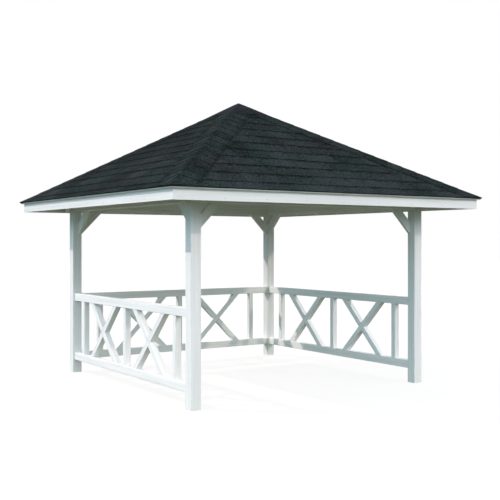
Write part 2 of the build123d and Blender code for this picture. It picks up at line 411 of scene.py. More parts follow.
class Shells:
    """Collects closed shells that are worked out as arrays, and joins them in one mesh.

    Attributes:
        side: the side that the next shells are turned to from the front.
    """

    def __init__(self, side: Side = Side.FRONT) -> None:
        """Starts with no shells."""
        self.side = side
        self.points: list[Grid] = []
        self.values: dict[str, list[Grid]] = {"tone": [], "grain": []}
        self.faces: list[tuple[int, ...]] = []
        self.slots: list[int] = []
        self.count = 0

    def add(self, points: Grid, faces: list[tuple[int, ...]], slots: list[int], tone: Grid | float,
            grain: Grid | None) -> None:
        """Adds one shell.

        Args:
            points: its corners on the front side, one row each.
            faces: its faces, as numbers of those rows.
            slots: the material slot of each face.
            tone: how light the shell is beside its neighbours, about -1 to 1, all over or by corner.
            grain: each corner's place in the timber's own directions, or None.
        """
        points = self.side.turn(points)
        self.points.append(points)
        self.values["tone"].append(np.broadcast_to(tone, len(points)))
        self.values["grain"].append(points if grain is None else grain)
        self.faces += [tuple(corner + self.count for corner in face) for face in faces]
        self.slots += slots
        self.count += len(points)

    def slab(self, top: Grid, bottom: Grid, tone: Grid | float = 0.0, ends_only: bool = False) -> None:
        """Adds a slab between two grids of points, closed by a rim around their border.

        Args:
            top: the outer grid, rows by columns by 3.
            bottom: the inner grid of the same size.
            tone: how light the slab is beside its neighbours, all over or by place in the grid.
            ends_only: give the second material to the rim at the first row only, not all round.
        """
        rows, columns = top.shape[:2]
        number = np.arange(rows * columns).reshape(rows, columns)
        quads = np.stack([number[:-1, :-1], number[:-1, 1:], number[1:, 1:], number[1:, :-1]], -1)
        quads = quads.reshape(-1, 4)
        border = np.concatenate([number[0], number[1:, -1], number[-1, -2::-1], number[-2:0:-1, 0]])
        after = np.roll(border, -1)
        under = rows * columns
        rim = np.stack([border, border + under, after + under, after], -1)
        faces = np.concatenate([quads, quads[:, ::-1] + under, rim])
        cut = columns - 1 if ends_only else len(rim)
        slots = [0] * (2 * len(quads)) + [1] * cut + [0] * (len(rim) - cut)
        points = np.concatenate([top.reshape(-1, 3), bottom.reshape(-1, 3)])
        tones = np.tile(np.broadcast_to(tone, (rows, columns)).ravel(), 2)
        self.add(points, [tuple(face) for face in faces.tolist()], slots, tones, None)

    def bar(self, rings: Grid, grain: tuple[Grid, Grid, Grid] | None = None, tone: float = 0.0) -> None:
        """Adds a solid whose outline is carried through several stations, with closed ends.

        Args:
            rings: the outlines, stations by corners by 3.
            grain: the same corners along, across and through the grain, or None.
            tone: how light the bar is beside its neighbours.
        """
        stations, corners = rings.shape[:2]
        number = np.arange(stations * corners).reshape(stations, corners)
        after = np.roll(number, -1, axis=1)
        sides = np.stack([number[:-1], after[:-1], after[1:], number[1:]], -1).reshape(-1, 4)
        faces = [tuple(face) for face in sides.tolist()]
        faces += [tuple(number[0, ::-1].tolist()), tuple(number[-1].tolist())]
        carried = None if grain is None else np.stack(np.broadcast_arrays(*grain), -1).reshape(-1, 3)
        self.add(rings.reshape(-1, 3), faces, [0] * len(faces), tone, carried)

    def piece(self, name: str, materials: Sequence[Material], slot: str, replaced: str = "",
              smooth_below: float = 30.0) -> None:
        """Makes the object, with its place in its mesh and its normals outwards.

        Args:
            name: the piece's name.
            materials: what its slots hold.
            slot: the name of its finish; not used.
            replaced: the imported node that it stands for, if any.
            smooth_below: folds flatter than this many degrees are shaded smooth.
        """
        mesh = bpy.data.meshes.new(name)
        mesh.from_pydata(np.concatenate(self.points).tolist(), [], self.faces)
        mesh.polygons.foreach_set("material_index", np.array(self.slots, np.int32))
        for label, kind, key in (("tone", "FLOAT", "value"), ("grain", "FLOAT_VECTOR", "vector")):
            values = np.concatenate(self.values[label]).astype(np.float32).ravel()
            mesh.attributes.new(label, kind, "POINT").data.foreach_set(key, values)
        shape = bmesh.new()
        shape.from_mesh(mesh)
        bmesh.ops.recalc_face_normals(shape, faces=shape.faces)
        shape.to_mesh(mesh)
        shape.free()
        mesh.shade_smooth()
        mesh.set_sharp_from_angle(angle=math.radians(smooth_below))
        for material in materials:
            mesh.materials.append(material)
        piece = bpy.data.objects.new(name, mesh)
        bpy.context.scene.collection.objects.link(piece)
        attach(piece, BODY)
        if replaced:
            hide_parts(replaced)
        log.info("%s: %d faces", name, len(mesh.polygons))


# ---------------------------------------------------------------- roof

@dataclass(frozen=True)
class RoofPlanes:
    """The planes of the pyramid roof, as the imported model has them.

    A place on the front slope is (along, up, proud): along the eaves to +X, up the slope from
    the shingles' lower edge, and square off the top of the roof boards.

    Attributes:
        eaves: from the centre to the shingles' lower edge, level.
        boards_out: from the centre to the boards' lower edge, level.
        board_peak: the height where the tops of the boards meet.
        board_thickness: thickness of the roof boards, square to the slope.
        pitch: the slope's angle in radians.
    """

    eaves: float
    boards_out: float
    board_peak: float
    board_thickness: float
    pitch: float

    @classmethod
    def from_frame(cls) -> "RoofPlanes":
        """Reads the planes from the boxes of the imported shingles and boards."""
        felt_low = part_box("front_shingles")[0]
        board_low, board_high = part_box("front_roof_boards")
        rise = (board_high.z - felt_low.z) / -felt_low.y
        pitch = math.atan(rise)
        rafter_peak = board_low.z - board_low.y * rise
        thickness = (board_high.z - rafter_peak) * math.cos(pitch)
        return cls(-felt_low.y, -board_low.y, board_high.z, thickness, pitch)

    @property
    def length(self) -> float:
        """From the eaves up to the peak, along the slope."""
        return self.eaves / math.cos(self.pitch)

    @property
    def hip_pitch(self) -> float:
        """The angle of the hip line in radians."""
        return math.atan(math.tan(self.pitch) / math.sqrt(2))

    @property
    def board_edge(self) -> float:
        """The boards' lower edge, up the slope."""
        return (self.eaves - self.boards_out) / math.cos(self.pitch)

    def level(self, up: Grid | float, proud: Grid | float = 0.0) -> Grid:
        """Level distance from the centre, which is also half the width between the hips."""
        return self.eaves - up * math.cos(self.pitch) + proud * math.sin(self.pitch)

    def place(self, along: Grid, up: Grid, proud: Grid | float) -> Grid:
        """Points of the front slope: y is minus the level distance, z falls from the peak with it.

        Args:
            along: distance along the eaves.
            up: distance up the slope.
            proud: distance square off the boards.

        Returns:
            The points, with a last axis of 3.
        """
        along, up, proud = np.broadcast_arrays(along, up, proud)
        height = self.board_peak - self.level(up) * math.tan(self.pitch)
        return np.stack([along, -self.level(up, proud), height + proud * math.cos(self.pitch)], axis=-1)


@dataclass
class ShingleField:
    """The shingles of the four slopes: courses of square-cut tabs, each lapped by the next.

    Attributes:
        planes: the roof's planes.
        exposure: the height of a course that shows.
        tab_width: from one slot to the next.
        slot: width of the slot between two tabs.
        ply: thickness of the felt.
        lap: the length of a tab for each unit of it that shows.
        first: the first course's height on each side.
        hip_gap: how far short of the hip line the felt is cut.
        underlay: thickness of the bitumen sheet under the shingles.
        weather: how much darker each slope's tone is made, as painted shade; the left slope most, the front
            not at all.
    """

    planes: RoofPlanes
    exposure: float = 0.209
    tab_width: float = 0.467
    slot: float = 0.007
    ply: float = 0.0046
    lap: float = 1.19
    first: dict[Side, float] = field(default_factory=lambda: dict(zip(Side, (0.170, 0.135, 0.170, 0.135))))
    hip_gap: float = 0.012
    underlay: float = 0.0007
    # Painted shade: the right, back and left slopes are made darker, the left one most.
    weather: dict[Side, float] = field(default_factory=lambda: dict(zip(Side, (0.0, -0.1, -0.3, -1.1))))

    ROWS = (0.0, 0.35, 0.66, 0.72, 1.0)   # from the lower edge to the head
    SHADE = (0.0, 0.0, 0.0, 1.0, 1.0)     # painted shade on the grit just below the next course's lower edge
    SHADE_DEPTH = 2.8
    COLUMNS = 9
    LIFT = 0.0022        # of a corner, at most
    WAVE = 0.0012        # of the lower edge
    STEP = 0.0018        # from tab to tab, up the slope
    THINNING = 0.4       # of the felt where its lower edge is pressed
    TONES, TONE_LIMIT = 0.6, 1.3
    DUST, DUST_LEVEL = 1.7, 0.45          # the lower courses are paler than the upper ones
    WAVE_LIFT, WAVE_SHIFT = 0.4, 0.8      # of the felt and of its edge, for each unit of wave
    LEAST, SLIVER = 0.012, 0.001          # the least height and width of a tab at the hips
    HEAD_GAP = 0.004     # from a tab's head to the hip
    LAST_COURSE = 0.3    # from the peak to where no more courses begin
    MITRE_GAP = 0.0006   # from the hip line to the strips under the first courses

    @property
    def start(self) -> float:
        """The lowest edge of the felt, whose top then lies over the eaves' line."""
        return (self.ply * (self.lap + 1) + self.LIFT + self.WAVE) * math.tan(self.planes.pitch)

    def courses(self, side: Side) -> list[Pair]:
        """The lower edge and the height that shows of each course, from the eaves up."""
        bands = [(self.start, self.first[side] - self.start)]
        edge = self.first[side]
        while edge < self.planes.length - self.LAST_COURSE:
            bands.append((edge, self.exposure))
            edge += self.exposure
        return bands

    def tab(self, shells: Shells, edge: float, shown: float, left: float, right: float,
            dice: np.random.Generator) -> None:
        """Adds one tab, from its lower edge to its head under the next course.

        The felt lies on the boards at its head and on the course below at its lower edge, so
        the height of its underside falls in a straight line from one to the other. Corners
        lift a little, with the sixth power of the distance from the tab's other edge, and the
        lower edge is pressed thinner here and there. Painted shade darkens the grit towards the
        next course, just below that course's lower edge.

        Args:
            shells: where the tab goes.
            edge: the tab's lower edge, up the slope.
            shown: the height of the course that shows.
            left: the tab's left edge along the eaves.
            right: its right edge.
            dice: the source of small irregularities.
        """
        planes = self.planes
        reach = (planes.eaves - min(abs(left), abs(right)) - self.hip_gap) / math.cos(planes.pitch)
        if left < 0 < right:
            reach = planes.length
        head = min(edge + shown * self.lap, reach - self.HEAD_GAP)
        if head - edge < self.LEAST:
            return
        down = np.array(self.ROWS)[:, None]
        over = np.linspace(0, 1, self.COLUMNS)[None, :]
        step = float(np.clip(dice.normal(0, self.STEP), -2 * self.STEP, 2 * self.STEP))
        up = edge + (head - edge) * down + step + 0 * over
        limit = planes.level(up) - self.hip_gap
        low = np.clip(left, -limit, limit - self.SLIVER)
        high = np.clip(right, low + self.SLIVER, limit)
        along = low + (high - low) * over
        loose = (1 - down) ** 2
        corner = (over ** 6 * dice.uniform(0, 1) + (1 - over) ** 6 * dice.uniform(0, 1)) * loose
        wave = self.WAVE * np.sin(over * dice.uniform(2, 5) * np.pi + dice.uniform(0, 6)) * loose
        under = self.ply * self.lap * (1 - (up - edge) / (shown * self.lap)) + self.LIFT * corner
        under = under + np.abs(wave) * self.WAVE_LIFT
        waved = np.maximum(up + wave * self.WAVE_SHIFT, self.start)
        thick = self.ply * (1 - self.THINNING * (1 - down) * dice.uniform(0, 1, self.COLUMNS)[None, :])
        tone = float(np.clip(dice.normal(0, self.TONES), -self.TONE_LIMIT, self.TONE_LIMIT))
        # Dust lightens the lower courses; weather adds each slope's painted shade.
        tone += self.DUST * (self.DUST_LEVEL - edge / planes.length) + self.weather[shells.side]
        # Painted shade on the upper rows, just below the next course's lower edge.
        shade = np.array(self.SHADE)[:, None] * dice.uniform(0.0, self.SHADE_DEPTH, self.COLUMNS)
        shells.slab(planes.place(along, waved, under + thick), planes.place(along, waved, under),
                    tone - shade, ends_only=True)

    def sheets(self, shells: Shells) -> None:
        """Adds the strip under the first course, which packs out the eaves as far as that course
        reaches, and the sheet under the shingles, which the slots between the tabs lay bare."""
        planes = self.planes
        over = np.linspace(-1, 1, 17)[None, :]
        # Each one's lower and upper edge, its gap at the hips, its thickness and its tone.
        strip = (self.start + 0.0005, self.first[shells.side] * 0.9, self.MITRE_GAP,
                 self.ply * self.lap - 0.0004, -0.3)
        sheet = (planes.board_edge + 0.006, planes.length - 0.02, self.hip_gap, self.underlay, -1.0)
        for low, high, gap, thick, tone in (strip, sheet):
            up = np.array([low, high])[:, None]
            along = over * (planes.level(up) - gap)
            shells.slab(planes.place(along, up, thick), planes.place(along, up, 0.0), tone)

    def build(self, felt: Material, cut: Material) -> None:
        """Builds one piece for each slope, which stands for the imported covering.

        Args:
            felt: the finish of the tabs.
            cut: the finish of their lower edges.
        """
        for side in Side:
            dice = np.random.default_rng(SEED + side.value)
            shells = Shells(side)
            self.sheets(shells)
            for number, (edge, shown) in enumerate(self.courses(side)):
                half = self.planes.level(edge)
                shift = 0.5 * (number % 2)
                steps = math.ceil(half / self.tab_width) + 1
                for step in range(-steps, steps):
                    left = (step + shift) * self.tab_width + self.slot / 2
                    right = left + self.tab_width - self.slot
                    if left < half - self.hip_gap and right > -half + self.hip_gap:
                        self.tab(shells, edge, shown, left, right, dice)
            shells.piece(f"{side}_shingle_courses", [felt, cut], "shingle_felt", f"{side}_shingles")


@dataclass
class HipCaps:
    """Cap shingles folded over the four hips, and the folded cap over the peak.

    A place on a hip is (across, up, proud): across from the hip line, up the hip from the
    corner, and square off the boards.

    Attributes:
        planes: the roof's planes.
        half: half width of a cap, level and square to the hip.
        peak_half: half width of the peak cap.
        peak_top: its height.
        exposure: the length of a cap that shows.
        first_longer: how much longer the lowest cap is.
        ply: thickness of the felt.
        base: the height of the caps' underside on the hip line.
        fold: how far from the hip line the fold is rounded.
        lap: the length of a cap for each unit of it that shows.
        hug: how far the caps' sides come down to the shingles.
        fold_wear: how far from the hip line painted shade darkens the caps along the fold.
    """

    planes: RoofPlanes
    half: float
    peak_half: float
    peak_top: float
    exposure: float = 0.181
    first_longer: float = 0.13
    ply: float = 0.0034
    base: float = 0.0105
    fold: float = 0.006
    lap: float = 1.19
    hug: float = 0.0058
    fold_wear: float = 0.046

    COLUMNS = 13
    ROWS = 4
    CROWD = 1.4                     # the power by which the columns crowd to the fold
    FOOT_PLIES = 2.4                # the plies that stand over the hip line at the corner
    HEAD_ROOM = 1.02                # where the caps stop under the peak cap, in half widths
    LEAST = 0.03                    # the least length of the highest cap
    CLEAR = 0.0002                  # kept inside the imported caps' outer faces
    WIDTH_ERROR = (-0.009, 0.007)   # of each side of a cap
    SKEW = 0.004                    # of its lower edge
    CURL = 0.0012                   # of its lower corners, at most
    TONE = (-0.1, 0.4)              # of the caps, their mean and spread
    WEAR = (0.3, 1.9)               # how much darker painted shade makes the fold
    RIM_DIRT = (1.0, 3.2)           # how much darker painted shade makes the side edges
    RIM_POWER = 8                   # the power by which the painted shade gathers towards them
    PEAK_STEPS = 12                 # points along each side of the peak cap
    PEAK_RINGS = 7
    PEAK_ORDER = 26                 # of the norm that rounds its folds
    PEAK_ROUND = 0.006
    PEAK_SAG = 0.006
    PEAK_TONE = 0.6

    @classmethod
    def from_frame(cls, planes: RoofPlanes) -> "HipCaps":
        """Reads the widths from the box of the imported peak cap."""
        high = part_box("apex_cap")[1]
        return cls(planes, half=high.x / math.sqrt(2), peak_half=high.x, peak_top=high.z)

    @property
    def fall(self) -> float:
        """How far a slope falls for each metre away from the hip, square to it and level."""
        return math.tan(self.planes.pitch) / math.sqrt(2) * math.cos(self.planes.hip_pitch)

    def place(self, across: Grid, up: Grid, proud: Grid) -> Grid:
        """Points about the hip of the front left corner.

        The section square to the hip is a shallow roof, z' = -fall * sqrt(across^2 + fold^2),
        raised by the height proud over the cosine of its slope. It is carried along the line
        from the corner to the peak.

        Args:
            across: level distance from the hip line, to +X on the front slope.
            up: distance up the hip from the corner.
            proud: distance square off the boards.

        Returns:
            The points, with a last axis of 3.
        """
        across, up, proud = np.broadcast_arrays(across, up, proud)
        pitch = self.planes.hip_pitch
        raised = proud * math.sqrt(1 + self.fall ** 2) - self.fall * np.sqrt(across ** 2 + self.fold ** 2)
        away = self.planes.eaves * math.sqrt(2) - up * math.cos(pitch)
        level = away + raised * math.sin(pitch)
        height = self.planes.board_peak - away * math.tan(pitch) + raised * math.cos(pitch)
        return np.stack([(-level + across) * ROOT_HALF, (-level - across) * ROOT_HALF, height], axis=-1)

    def cap(self, shells: Shells, edge: float, shown: float, dice: np.random.Generator,
            pointed: bool) -> None:
        """Adds one cap over the hip at the left end of a side.

        Args:
            shells: where the cap goes.
            edge: the cap's lower edge, up the hip.
            shown: the length that shows.
            dice: the source of small irregularities.
            pointed: whether the lower edge follows the two eaves, as on the lowest cap.
        """
        down = np.linspace(0, 1, self.ROWS)[:, None]
        reach = np.linspace(-1, 1, self.COLUMNS)[None, :]
        over = np.sign(reach) * np.abs(reach) ** self.CROWD
        across = over * (self.half + dice.uniform(*self.WIDTH_ERROR, 2).take((over > 0).astype(int)))
        length = shown * self.lap
        skew = float(np.clip(dice.normal(0, self.SKEW), -2 * self.SKEW, 2 * self.SKEW))
        up = edge + skew * over + length * down
        if pointed:
            start = np.abs(across) / math.cos(self.planes.hip_pitch)
            up = edge + start + (length - start) * down
        curl = self.CURL * dice.uniform(0, 1) * over ** 4 * (1 - down)
        rest = self.ply * self.lap * np.clip(1 - (up - edge) / length, 0, 1)
        under = self.base - self.hug * over ** 2 + rest + curl
        # Painted shade, held in worn: the caps darken along the fold over the hip line.
        worn = dice.uniform(*self.WEAR) * np.exp(-(across / self.fold_wear) ** 2)
        # Painted shade towards each cap's side edges, where the cap's edge would cast a shadow.
        worn += dice.uniform(*self.RIM_DIRT) * over ** self.RIM_POWER
        tone = np.clip(dice.normal(*self.TONE), -1, 1) - worn
        shells.slab(self.place(across, up, under + self.ply), self.place(across, up, under), tone)

    def peak(self, shells: Shells) -> None:
        """Adds the cap over the peak.

        Its plan is a square drawn in to the middle, and its height falls from the peak with the
        larger of |x| and |y|, where a norm of high order rounds the four folds a little.
        """
        turn = np.linspace(0, 2 * np.pi, 4 * self.PEAK_STEPS, endpoint=False) + np.pi / 4
        square = np.stack([np.cos(turn), np.sin(turn)], -1)
        square /= np.abs(square).max(axis=1, keepdims=True)
        share = np.linspace(0.02, 1, self.PEAK_RINGS)[:, None, None]
        flat = self.peak_half * share * square[None] * 0.998
        size = (np.abs(flat) ** self.PEAK_ORDER).sum(-1) ** (1 / self.PEAK_ORDER)
        size = np.sqrt(size ** 2 + self.PEAK_ROUND ** 2)
        size = size - size.min()
        sag = self.PEAK_SAG * (size / self.peak_half) ** 2
        height = self.peak_top - self.CLEAR - math.tan(self.planes.pitch) * size - sag
        top = np.concatenate([flat, height[..., None]], -1)
        top = np.concatenate([top, top[:, :1]], axis=1)
        shells.slab(top, top - np.array([0, 0, self.ply]), self.PEAK_TONE)

    def build(self, felt: Material, peak_felt: Material, cut: Material) -> None:
        """Builds the caps of the hips and of the peak as two pieces.

        Args:
            felt: the finish of the hips' caps.
            peak_felt: the finish of the peak's cap.
            cut: the finish of their edges.
        """
        shells = Shells()
        pitch = self.planes.hip_pitch
        start = (self.base + self.FOOT_PLIES * self.ply) * math.tan(pitch) + self.CLEAR
        stop = (self.planes.eaves * math.sqrt(2) - self.half * self.HEAD_ROOM) / math.cos(pitch)
        for side in Side:
            shells.side = side
            dice = np.random.default_rng(SEED + 7 + side.value)
            edge, longer = start, self.first_longer
            while edge < stop - self.LEAST:
                shown = min(self.exposure, (stop - edge) / self.lap) + longer
                self.cap(shells, edge, shown, dice, longer > 0)
                edge += shown
                longer = 0.0
        shells.piece("hip_cap_shingles", [felt, cut], "cap_felt", "hip_caps")
        top = Shells()
        self.peak(top)
        top.piece("peak_cap", [peak_felt, cut], "cap_felt", "apex_cap")


@dataclass
class RoofBoarding:
    """Tongued boards over the rafters, level along each slope and mitred at the hips.

    Attributes:
        planes: the roof's planes.
        cover: the width that each board covers.
        groove: half width of the V between two boards, on the face that shows from below.
        gap: the gap between two boards at the top.
        mitre: how far short of the hip line a board is cut.
        drip_bevel: how far the lowest board's lower edge is bevelled.
    """

    planes: RoofPlanes
    cover: float = 0.111
    groove: float = 0.004
    gap: float = 0.0008
    mitre: float = 0.0004
    drip_bevel: float = 0.008

    LEAST = 0.02       # the least width of the highest board
    PEAK_GAP = 0.004
    GRAIN_SHIFT = 9    # for each unit of tone, so that no two boards look alike

    def board(self, shells: Shells, low: float, high: float, tone: float, lowest: bool) -> None:
        """Adds one board. Its outline runs around its section, and each corner of it is carried
        from one hip plane to the other. The lowest board's edge is cut plumb.

        Args:
            shells: where the board goes.
            low: the board's lower edge, up the slope.
            high: its upper edge.
            tone: how light the board is.
            lowest: whether it is the one at the eaves.
        """
        planes, thick = self.planes, self.planes.board_thickness
        arris = self.drip_bevel if lowest else self.groove
        outline = [(low + self.gap, 0.0), (low + self.gap, arris - thick),
                   (low + self.groove, -thick), (high - self.groove, -thick),
                   (high - self.gap, self.groove - thick), (high - self.gap, 0.0)]
        up, proud = np.array(outline).T
        if lowest:
            up[:3] = planes.board_edge + proud[:3] * math.tan(planes.pitch) + (0, 0, arris)
        ends = planes.level(up, proud) - self.mitre
        along = np.linspace(-1, 1, 5)[:, None] * ends[None, :]
        shells.bar(planes.place(along, up, proud), (along + tone * self.GRAIN_SHIFT, up, proud), tone)

    def build(self, timber: Material) -> None:
        """Builds one piece for each slope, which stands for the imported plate."""
        for side in Side:
            dice = np.random.default_rng(SEED + 31 + side.value)
            shells = Shells(side)
            edges = np.arange(self.planes.board_edge, self.planes.length - self.LEAST, self.cover)
            for number, edge in enumerate(edges.tolist()):
                high = min(edge + self.cover, self.planes.length - self.PEAK_GAP)
                self.board(shells, edge, high, float(dice.uniform(-1, 1)), number == 0)
            shells.piece(f"{side}_tongued_boards", [timber], "roof_board_paint", f"{side}_roof_boards")


# ---------------------------------------------------------------- frame timbers

def chamfered_section(width: float, thickness: float, arris: float) -> tuple[Grid, Grid]:
    """The outline of a bar: a rectangle about the origin with its four corners cut at 45 degrees.

    Args:
        width: the first size of the section.
        thickness: the second size.
        arris: how far each corner is cut back.

    Returns:
        The places of its eight corners across the width and through the thickness.
    """
    signs = np.array([(1, 1), (1, 1), (-1, 1), (-1, 1), (-1, -1), (-1, -1), (1, -1), (1, -1)])
    cuts = np.array([(0, 1), (1, 0), (1, 0), (0, 1)] * 2) * arris
    across, through = (signs * (np.array([width, thickness]) / 2 - cuts)).T
    return across, through


def diagonal(foot: Triple, lean: int, along: Grid | float, across: Grid | float = 0.0,
             depth: Grid | float = 0.0) -> Grid:
    """Points about a line that rises at 45 degrees on the front side: x goes with the difference
    of along and across over the square root of two, z with their sum over it, and y with depth.

    Args:
        foot: where the line begins.
        lean: 1 if it rises to +X, -1 if it rises to -X.
        along: distance along the line.
        across: distance to its upper side.
        depth: distance to +Y.

    Returns:
        The points, with a last axis of 3.
    """
    along, across, depth = np.broadcast_arrays(along, across, depth)
    x = foot[0] + (along - across) * ROOT_HALF * lean
    return np.stack([x, foot[1] + depth, foot[2] + (along + across) * ROOT_HALF], -1)


@dataclass
class KneeBraces:
    """The braces between posts and beams, two to a side.

    Attributes:
        width: of a brace, in the plane of the side.
        arris: chamfer of its long edges.
        screw_in: from a brace's end to its screw.
    """

    width: float = 0.100
    arris: float = 0.003
    screw_in: float = 0.075

    GRAIN_SHIFT = 3      # from brace to brace, so that no two look alike
    STATION = 0.3        # of the one outline between the ends, in lengths

    def build(self, timber: Material, screws: "Screws") -> None:
        """Builds one piece for each side. A brace's outline is carried along a line at 45 degrees
        and cut plumb at the post and level at the beam, so the place along that line where each
        corner ends is its own distance across the brace, or the whole reach less that distance.

        Args:
            timber: the finish.
            screws: collects the screw heads in the braces' lower edges.
        """
        low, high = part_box("front_knee_braces")
        reach = (high.z - low.z) * math.sqrt(2)
        across, through = chamfered_section(self.width, high.y - low.y, self.arris)
        across = across + self.width / 2
        along = np.stack([across, self.STATION * reach + 0 * across, reach - across])
        for side in Side:
            shells = Shells(side)
            for hand in (1, -1):
                foot = (low.x * hand, (low.y + high.y) / 2, low.z)
                grain = (along + hand * self.GRAIN_SHIFT + side.value, across, through)
                shells.bar(diagonal(foot, hand, along, across, through), grain)
                for place in (self.screw_in, reach - self.screw_in):
                    screws.add(side, diagonal(foot, hand, place), (ROOT_HALF * hand, 0.0, -ROOT_HALF))
            shells.piece(f"{side}_corner_braces", [timber], "brace_paint", f"{side}_knee_braces")


@dataclass
class RailingCrosses:
    """The crosses of the railings: two bars at 45 degrees, halved into each other.

    Attributes:
        width: of a bar, in the plane of the railing.
        arris: chamfer of its long edges.
        joint: the open line around the halved joint.
    """

    width: float = 0.070
    arris: float = 0.003
    joint: float = 0.0004

    GRAIN_SHIFT = 1.7    # from bar to bar, so that no two look alike

    def bar(self, shells: Shells, middle: Triple, lean: int, reach: float, thickness: float,
            number: int) -> None:
        """Adds one bar of a cross.

        Its outline is carried along the line at 45 degrees. Over the width of the other bar only
        one half of the thickness is kept: the outer half where the bar leans to the right, and
        the inner half where it leans to the left. The ends are cut level, against the rails.

        Args:
            shells: where the bar goes.
            middle: the crossing's middle, on the front side.
            lean: 1 if the bar rises to +X, -1 if it rises to -X.
            reach: half the height between the rails.
            thickness: of the bar.
            number: of the bar, which shifts its grain.
        """
        across, through = chamfered_section(self.width, thickness, self.arris)
        halved = np.clip(through * lean, -thickness / 2, -self.joint) * lean
        end = reach * math.sqrt(2)
        lap = self.width / 2 + self.joint + 0 * across
        along = np.stack([-end - across, -lap, -lap, lap, lap, end - across])
        depth = np.stack([through, through, halved, halved, through, through])
        grain = (along + number * self.GRAIN_SHIFT, across, depth)
        shells.bar(diagonal(middle, lean, along, across, depth), grain)

    def build(self, timber: Material) -> None:
        """Builds one piece for each railing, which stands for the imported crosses."""
        low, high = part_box("back_cross_braces")
        reach = (high.z - low.z) / 2
        bay = high.x - reach - self.width / math.sqrt(2)
        for count, side in enumerate((Side.LEFT, Side.BACK, Side.RIGHT)):
            shells = Shells(side)
            for hand in (-1, 1):
                middle = (hand * bay, -(low.y + high.y) / 2, (low.z + high.z) / 2)
                for lean in (1, -1):
                    self.bar(shells, middle, lean, reach, high.y - low.y, count * 4 + hand + lean)
            shells.piece(f"{side}_railing_crosses", [timber], "railing_paint", f"{side}_cross_braces")


@dataclass
class Screws:
    """Countersunk screw heads, collected while the timbers are built.

    Attributes:
        radius: of a head.
        proud: how far the head stands off the wood.
        spots: each head's place and the way it faces.
    """

    radius: float = 0.0045
    proud: float = 0.0006
    spots: list[tuple[Grid, Grid]] = field(default_factory=list)

    CORNERS = 10
    RADII = (1.0, 1.0, 0.8, 0.36, 0.30)      # from inside the wood over the dome to the bit's hollow
    HEIGHTS = (-1.5, 0.3, 1.0, 1.0, -0.6)

    def add(self, side: Side, spot: Grid | Triple, facing: Grid | Triple) -> None:
        """Notes a head at a spot on the wood of a side, facing away from it."""
        self.spots.append((side.turn(spot), side.turn(facing)))

    def build(self, metal: Material) -> None:
        """Builds all heads as one piece: a low dome whose height falls with the square of the
        distance from its middle, with a hollow for the bit, carried around the screw's axis."""
        shells = Shells()
        turn = np.linspace(0, 2 * np.pi, self.CORNERS, endpoint=False)[:, None]
        radii, heights = (np.array(share)[:, None, None] for share in (self.RADII, self.HEIGHTS))
        for spot, facing in self.spots:
            first = np.cross(facing, (0.3, 0.5, 0.8))
            first /= np.linalg.norm(first)
            circle = np.cos(turn) * first + np.sin(turn) * np.cross(facing, first)
            shells.bar(spot + radii * self.radius * circle + heights * self.proud * facing)
        shells.piece("screw_heads", [metal], "fascia_paint", smooth_below=50.0)


@dataclass
class Fascias:
    """Where the fascias are screwed to the rafters' tails.

    Attributes:
        bays: rafter bays on each side of the middle.
        height: of a fascia's outer face.
        edge: from the fascia's top and bottom to a screw.
    """

    bays: int = 3
    height: float = 0.125
    edge: float = 0.028

    def build(self, screws: Screws) -> None:
        """Notes two screws at each rafter on every side."""
        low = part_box("front_fascia")[0]
        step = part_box("front_knee_braces")[1].x / self.bays
        for side in Side:
            for number in range(-self.bays, self.bays + 1):
                for rise in (self.edge, self.height - self.edge):
                    screws.add(side, (number * step, low.y, low.z + rise), (0.0, -1.0, 0.0))


@dataclass
class PackedTimbers:
    """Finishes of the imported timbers, which keep their shape.

    Attributes:
        planes: the roof's planes.
        glued: thickness of a layer of the posts and beams.
    """

    planes: RoofPlanes
    glued: float = 0.040

    def dress(self, finish: Finish, slot: str, *nodes: str) -> None:
        """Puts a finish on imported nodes."""
        material = finish.material()
        for node in nodes:
            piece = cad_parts[node]
            for holder in piece.material_slots:
                holder.material = material

    def build(self) -> None:
        """Dresses posts, beams, fascias, rafters, rails, balusters and the block at the peak."""
        right, back, upright = (1, 0, 0), (0, 1, 0), (0, 0, 1)
        pitch, beam_low = self.planes.pitch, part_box("front_beam")[0].z
        post = StainedTimber("stained_glued_post", Grain(upright, right, mirrored=True), layer=self.glued,
                             layer_origin=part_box("front_right_post")[1].x)
        self.dress(post, "post_paint", *(f"{corner}_post" for corner in (
            "front_left", "front_right", "back_right", "back_left")))
        for side in Side:
            along, member = (right, back) if side in (Side.FRONT, Side.BACK) else (back, right)
            level = Grain(along, upright, member_axis=member)
            beam = StainedTimber(f"stained_glued_beam_{side}", level, layer=self.glued,
                                 layer_origin=beam_low)
            self.dress(beam, "beam_paint", f"{side}_beam")
            fascia = StainedTimber(f"stained_fascia_{side}", level, stain="#e7ebea", streak="#d8dddc")
            self.dress(fascia, "fascia_paint", f"{side}_fascia")
            fall = (-member[0] * math.cos(pitch), -member[1] * math.cos(pitch), math.sin(pitch))
            slope = Grain(fall, along, mirrored=True, member_axis=along)
            self.dress(StainedTimber(f"stained_rafter_{side}", slope), "rafter_paint", f"{side}_rafters")
            if side is not Side.FRONT:
                rail = StainedTimber(f"stained_rail_{side}", level)
                self.dress(rail, "railing_paint", f"{side}_bottom_rail", f"{side}_top_rail")
                stand = Grain(upright, along, member_axis=along, member_gap=1.2)
                baluster = StainedTimber(f"stained_baluster_{side}", stand)
                self.dress(baluster, "railing_paint", f"{side}_balusters")
        hip = self.planes.hip_pitch
        run = -math.cos(hip) * ROOT_HALF
        hips = Grain((run, run, math.sin(hip)), (1, -1, 0), mirrored=True)
        self.dress(StainedTimber("stained_hip_rafter", hips), "rafter_paint", "hip_rafters")
        self.dress(StainedTimber("stained_king_block", Grain(upright, right)), "rafter_paint", "king_block")


# ---------------------------------------------------------------- studio

